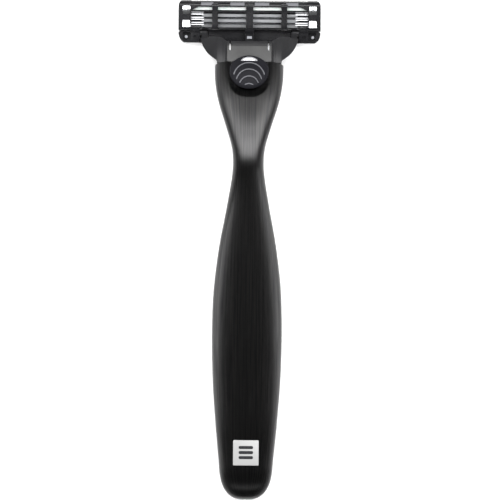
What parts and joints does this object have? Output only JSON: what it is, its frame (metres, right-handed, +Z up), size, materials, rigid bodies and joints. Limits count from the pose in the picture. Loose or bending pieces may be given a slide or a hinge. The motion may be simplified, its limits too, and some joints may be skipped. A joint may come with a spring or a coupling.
{
  "type": "cartridge razor",
  "caption": "Safety razor with a slim-waisted metal handle, sprung pivoting multi-blade cartridge and round push-button release.",
  "frame": {"origin": "centre of the bounding box in X and Y, on the surface it lies on", "axes": "+Y along the length from butt to cartridge, +Z up out of the back with the blades facing down, +X across the cartridge"},
  "size_m": [0.0414, 0.146, 0.0232],
  "materials": {
    "handle_metal": "black anodised, brushed lengthwise",
    "badge_metal": "satin silver",
    "badge_enamel": "black enamel",
    "insert_plastic": "moulded",
    "spring_steel": "drawn wire",
    "button_plastic": "satin moulded",
    "connector_plastic": "moulded",
    "housing_plastic": "gloss black",
    "guard_rubber": "soft",
    "strip_polymer": "waxy",
    "clip_aluminium": "bright rolled",
    "blade_steel": "polished edge",
    "support_steel": "rolled"
  },
  "bodies": {
    "handle": {"handle_body": "handle_metal", "badge_plate": "badge_metal", "badge_motif": "badge_enamel", "nose_insert": "insert_plastic", "insert_pin": "spring_steel", "button_springs": "spring_steel", "plunger_spring": "spring_steel", "detent_spring": "spring_steel"},
    "button": {"ejector_button": "button_plastic", "ejector_slider": "insert_plastic"},
    "plunger": {"plunger": "connector_plastic"},
    "yoke": {"connector": "connector_plastic"},
    "cartridge": {"blade_housing": "housing_plastic", "guard_strip": "guard_rubber", "lubricating_strip": "strip_polymer", "clip_left": "clip_aluminium", "clip_right": "clip_aluminium", "blade_springs_1": "housing_plastic", "blade_springs_2": "housing_plastic", "blade_springs_3": "housing_plastic"},
    "blade_1_unit": {"blade_1": "blade_steel", "blade_support_1": "support_steel"},
    "blade_2_unit": {"blade_2": "blade_steel", "blade_support_2": "support_steel"},
    "blade_3_unit": {"blade_3": "blade_steel", "blade_support_3": "support_steel"}
  },
  "joints": [
    {"name": "cartridge_release", "type": "slide", "parent": "handle", "child": "yoke", "axis": [0, 0.9063, -0.4226], "range_m": [0, 0.012], "deforming": ["detent_spring"]},
    {"name": "cartridge_pivot", "type": "hinge", "parent": "yoke", "child": "cartridge", "pos_m": [0, 0.0634, 0.0022], "axis": [1, 0, 0], "range_deg": [0, 40], "stiffness_Nm_per_rad": 0.01, "springref_deg": -11.46},
    {"name": "plunger_slide", "type": "slide", "parent": "handle", "child": "plunger", "axis": [0, -0.9063, 0.4226], "range_m": [0, 0.0017], "deforming": ["plunger_spring"]},
    {"name": "button_slide", "type": "slide", "parent": "handle", "child": "button", "axis": [0, 0.9063, -0.4226], "range_m": [0, 0.003], "stiffness_N_per_m": 300, "springref_m": -0.001, "deforming": ["button_springs"]},
    {"name": "blade_1_float", "type": "slide", "parent": "cartridge", "child": "blade_1_unit", "axis": [0, 0, 1], "range_m": [0, 0.0003], "stiffness_N_per_m": 150, "springref_m": -0.0003, "deforming": ["blade_springs_1"]},
    {"name": "blade_2_float", "type": "slide", "parent": "cartridge", "child": "blade_2_unit", "axis": [0, 0, 1], "range_m": [0, 0.0003], "stiffness_N_per_m": 150, "springref_m": -0.0003, "deforming": ["blade_springs_2"]},
    {"name": "blade_3_float", "type": "slide", "parent": "cartridge", "child": "blade_3_unit", "axis": [0, 0, 1], "range_m": [0, 0.0003], "stiffness_N_per_m": 150, "springref_m": -0.0003, "deforming": ["blade_springs_3"]}
  ],
  "couplings": [
    {"joint": "plunger_slide", "follows": "cartridge_pivot", "m_per_rad": 0.0024297}
  ]
}
